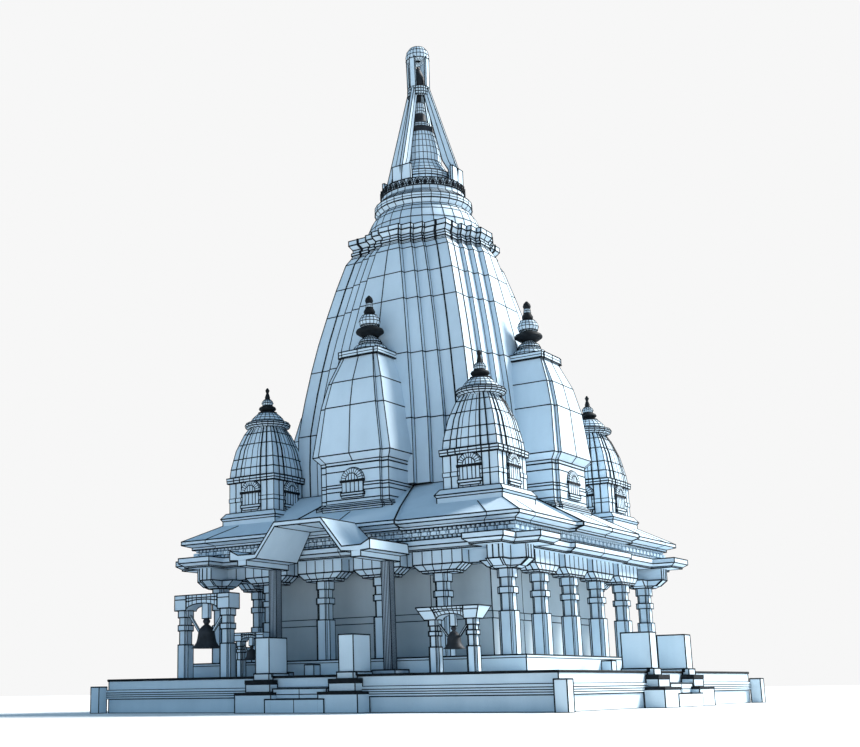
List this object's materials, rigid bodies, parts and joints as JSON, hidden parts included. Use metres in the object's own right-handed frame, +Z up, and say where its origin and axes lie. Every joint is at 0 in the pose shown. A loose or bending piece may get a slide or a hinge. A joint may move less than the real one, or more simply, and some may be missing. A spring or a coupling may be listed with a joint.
{
  "type": "hindu temple",
  "caption": "Square pillared hindu temple with a tall curved tower, parasol finial, ring of small towers, gabled porch canopy, stair piers, stepped platform and hanging bells in arched frames.",
  "frame": {"origin": "middle of the building's footprint on the ground", "axes": "+Z up, -Y towards the porch and the bells, +X to the right when the front is faced"},
  "size_m": [17.336, 17.336, 24.776],
  "materials": {
    "pale_stone": "painted matt",
    "wall_stone": "painted matt",
    "platform_stone": "painted matt",
    "dark_metal": "satin"
  },
  "bodies": {
    "root": {"platform": "platform_stone", "stair_front": "platform_stone", "stair_right": "platform_stone", "stair_back": "platform_stone", "stair_left": "platform_stone", "plinth": "platform_stone", "cella_walls": "wall_stone", "column_front_1": "pale_stone", "column_front_2": "pale_stone", "column_front_3": "pale_stone", "column_front_4": "pale_stone", "column_front_5": "pale_stone", "column_right_1": "pale_stone", "column_right_2": "pale_stone", "column_right_3": "pale_stone", "column_right_4": "pale_stone", "column_right_5": "pale_stone", "column_back_1": "pale_stone", "column_back_2": "pale_stone", "column_back_3": "pale_stone", "column_back_4": "pale_stone", "column_back_5": "pale_stone", "column_left_1": "pale_stone", "column_left_2": "pale_stone", "column_left_3": "pale_stone", "column_left_4": "pale_stone", "column_left_5": "pale_stone", "entablature": "pale_stone", "roof": "pale_stone", "main_tower": "pale_stone", "tower_crown": "pale_stone", "tower_spire": "pale_stone", "parasol": "pale_stone", "corner_tower_front_right": "pale_stone", "corner_tower_back_right": "pale_stone", "corner_tower_back_left": "pale_stone", "corner_tower_front_left": "pale_stone", "turret_front": "pale_stone", "turret_right": "pale_stone", "turret_back": "pale_stone", "turret_left": "pale_stone", "porch_canopy": "pale_stone", "porch_post_right": "pale_stone", "porch_post_left": "pale_stone", "bell_frame_large": "pale_stone", "bell_large": "dark_metal", "bell_frame_medium": "pale_stone", "bell_medium": "dark_metal", "bell_frame_small": "pale_stone", "bell_small": "dark_metal"}
  },
  "joints": []
}
